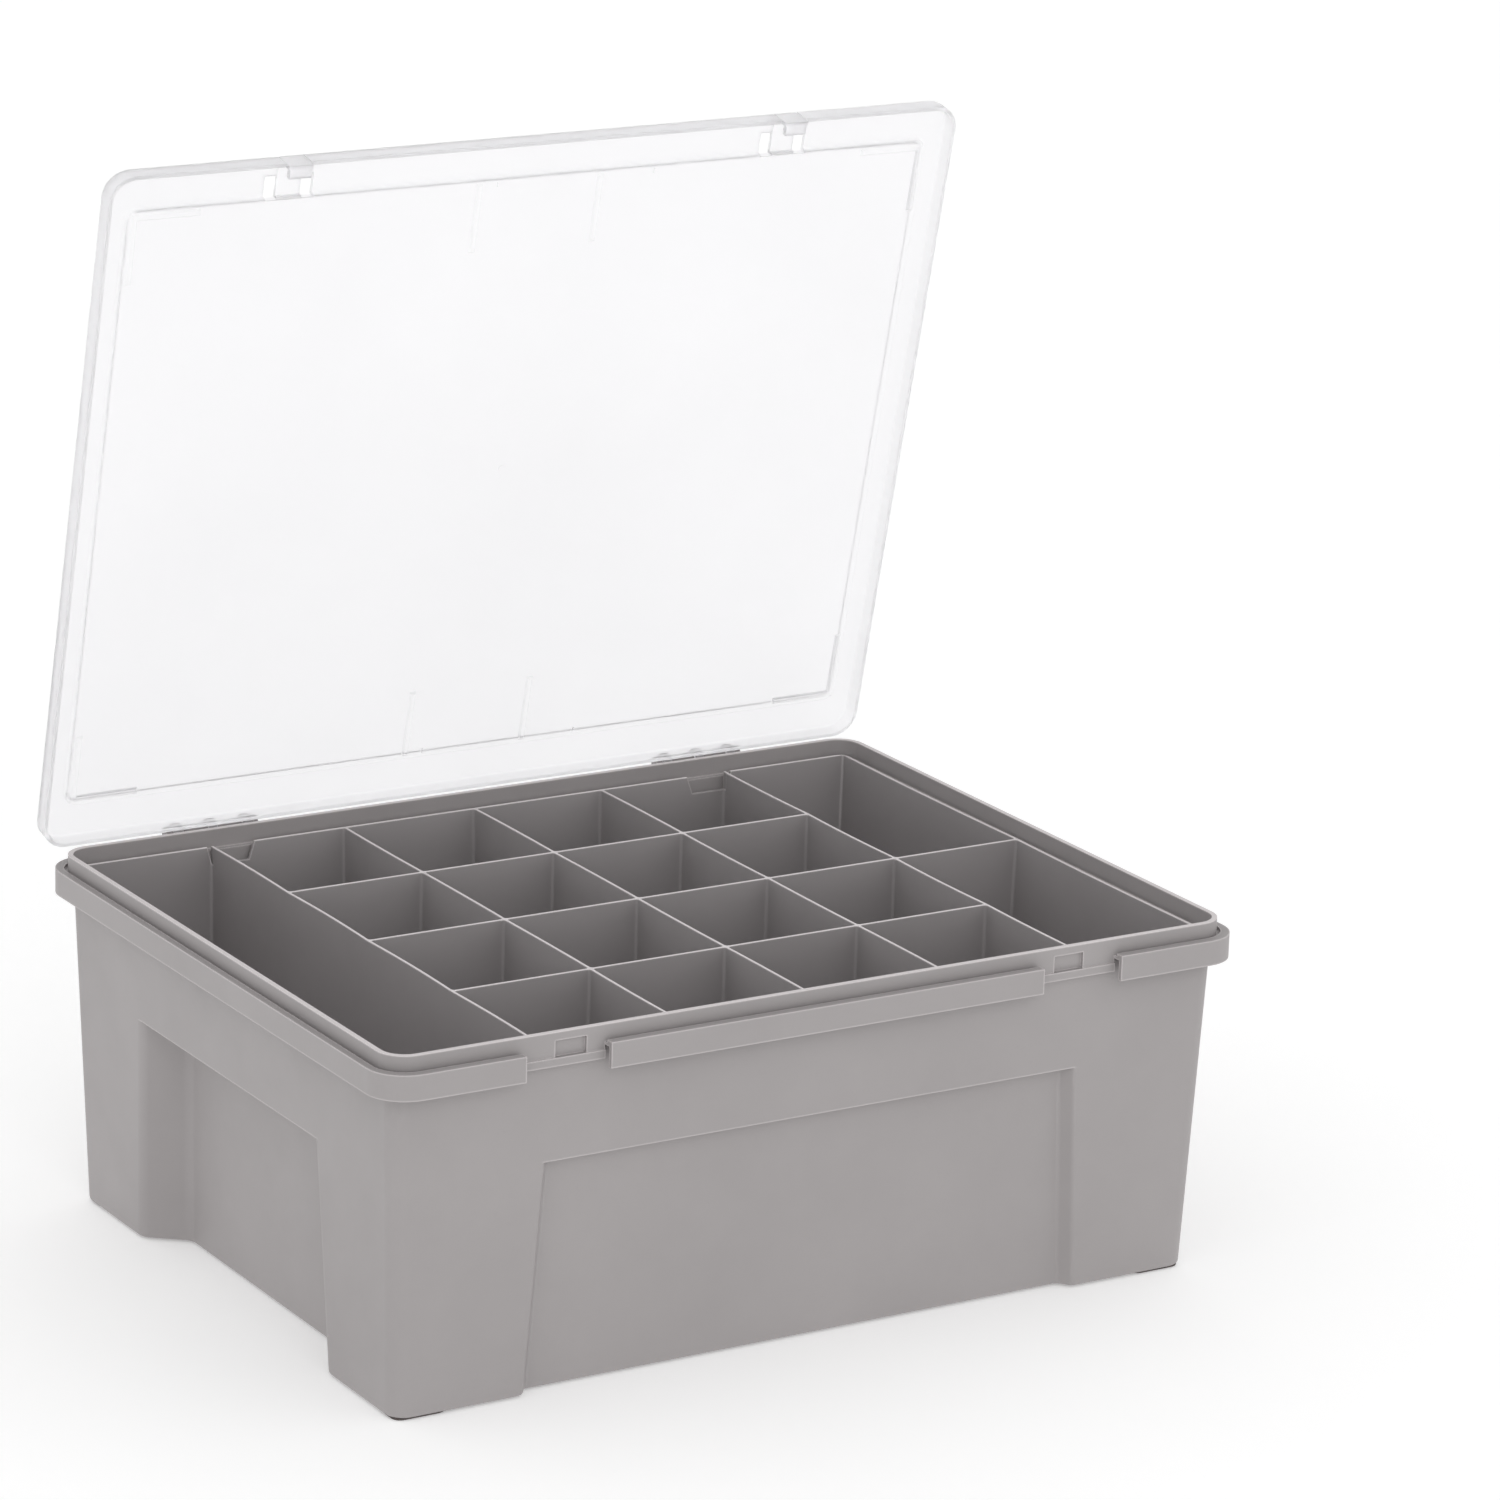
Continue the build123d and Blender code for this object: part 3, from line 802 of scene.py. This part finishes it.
# ---------------------------------------------------------------- floor, light, camera
FLOOR_REACH = 12.0                # from the middle to each side
FLOOR_CELLS = 8
FLOOR_SHADES = ((0.9, 0.9, 0.9), (0.92, 0.92, 0.92))
FLOOR_GLOW = 0.25                 # lifts the floor to the white of a lit studio table
WHITE = (1, 1, 1, 1)
SKY_HORIZON = 1.0                 # strength of the light from low down and from overhead
SKY_ZENITH = 0.78
SKY_FADE = (0.1, 0.8)             # sine of the heights between which it changes
KEY_PLACE = (-0.8, -2.6, 1.9)     # front left, above the lid
KEY_TARGET = (0, 0, 0.15)
KEY_SIZE = 1.2
KEY_POWER = 7


def build_floor():
    """A wide pale floor."""
    bm = bmesh.new()
    bmesh.ops.create_grid(bm, x_segments=FLOOR_CELLS, y_segments=FLOOR_CELLS, size=FLOOR_REACH)
    floor = new_piece("floor", bm)
    look = Shader("floor")
    clouds = look.spread(look.noise(*PAPER_CLOUDS), 0, 1)
    look.drive("Base Color", look.mix(clouds, *FLOOR_SHADES))
    look.constants(Roughness=0.9, Emission_Color=WHITE, Emission_Strength=FLOOR_GLOW)
    floor.data.materials.append(look.material)


def build_key_light():
    """One soft square light, which faces the object."""
    data = bpy.data.lights.new("key", "AREA")
    data.size = KEY_SIZE
    data.energy = KEY_POWER
    lamp = bpy.data.objects.new("key", data)
    bpy.context.scene.collection.objects.link(lamp)
    lamp.location = KEY_PLACE
    beam = Vector(KEY_TARGET) - Vector(KEY_PLACE)
    lamp.rotation_euler = beam.to_track_quat("-Z", "Y").to_euler()


def build_sky():
    """White light from all round, a little weaker from overhead."""
    world = bpy.data.worlds.new("studio")
    world.use_nodes = True
    nodes, links = world.node_tree.nodes, world.node_tree.links
    split = nodes.new("ShaderNodeSeparateXYZ")
    links.new(nodes.new("ShaderNodeTexCoord").outputs["Generated"], split.inputs[0])
    fade = nodes.new("ShaderNodeMapRange")
    fade.inputs["From Min"].default_value, fade.inputs["From Max"].default_value = SKY_FADE
    fade.inputs["To Min"].default_value = SKY_HORIZON
    fade.inputs["To Max"].default_value = SKY_ZENITH
    links.new(split.outputs["Z"], fade.inputs["Value"])
    links.new(fade.outputs["Result"], nodes["Background"].inputs["Strength"])
    nodes["Background"].inputs["Color"].default_value = WHITE
    bpy.context.scene.world = world


CAMERA_YAW = 31.594               # degrees, as are the next two
CAMERA_ELEVATION = 16.496
CAMERA_ROLL = 1.693
CAMERA_DISTANCE = 2.6546
CAMERA_LENS = 152.57              # millimetres, as is the sensor
CAMERA_SENSOR = 36
CAMERA_REACH = 100
AIM_BASE = Vector((0, 0, 0.001))  # the camera looks at a point right of and above this one
AIM_RIGHT = 0.0501
AIM_UP = 0.2002


def build_camera():
    """A long lens from the front left, looking down a little."""
    yaw, elevation, roll = map(radians, (CAMERA_YAW, CAMERA_ELEVATION, CAMERA_ROLL))
    ahead = Vector((sin(yaw) * cos(elevation), cos(yaw) * cos(elevation), -sin(elevation)))
    level = Vector((cos(yaw), -sin(yaw), 0))
    upright = level.cross(ahead)
    right = level * cos(roll) + upright * sin(roll)
    up = upright * cos(roll) - level * sin(roll)
    place = AIM_BASE + right * AIM_RIGHT + up * AIM_UP - ahead * CAMERA_DISTANCE
    data = bpy.data.cameras.new("camera")
    data.sensor_width = CAMERA_SENSOR
    data.lens = CAMERA_LENS
    data.clip_end = CAMERA_REACH
    camera = bpy.data.objects.new("camera", data)
    bpy.context.scene.collection.objects.link(camera)
    turn = Matrix((right, up, -ahead)).transposed().to_4x4()
    camera.matrix_world = Matrix.Translation(place) @ turn
    bpy.context.scene.camera = camera


build_floor()
build_sky()
build_key_light()
build_camera()
bpy.context.scene.view_settings.view_transform = "Standard"
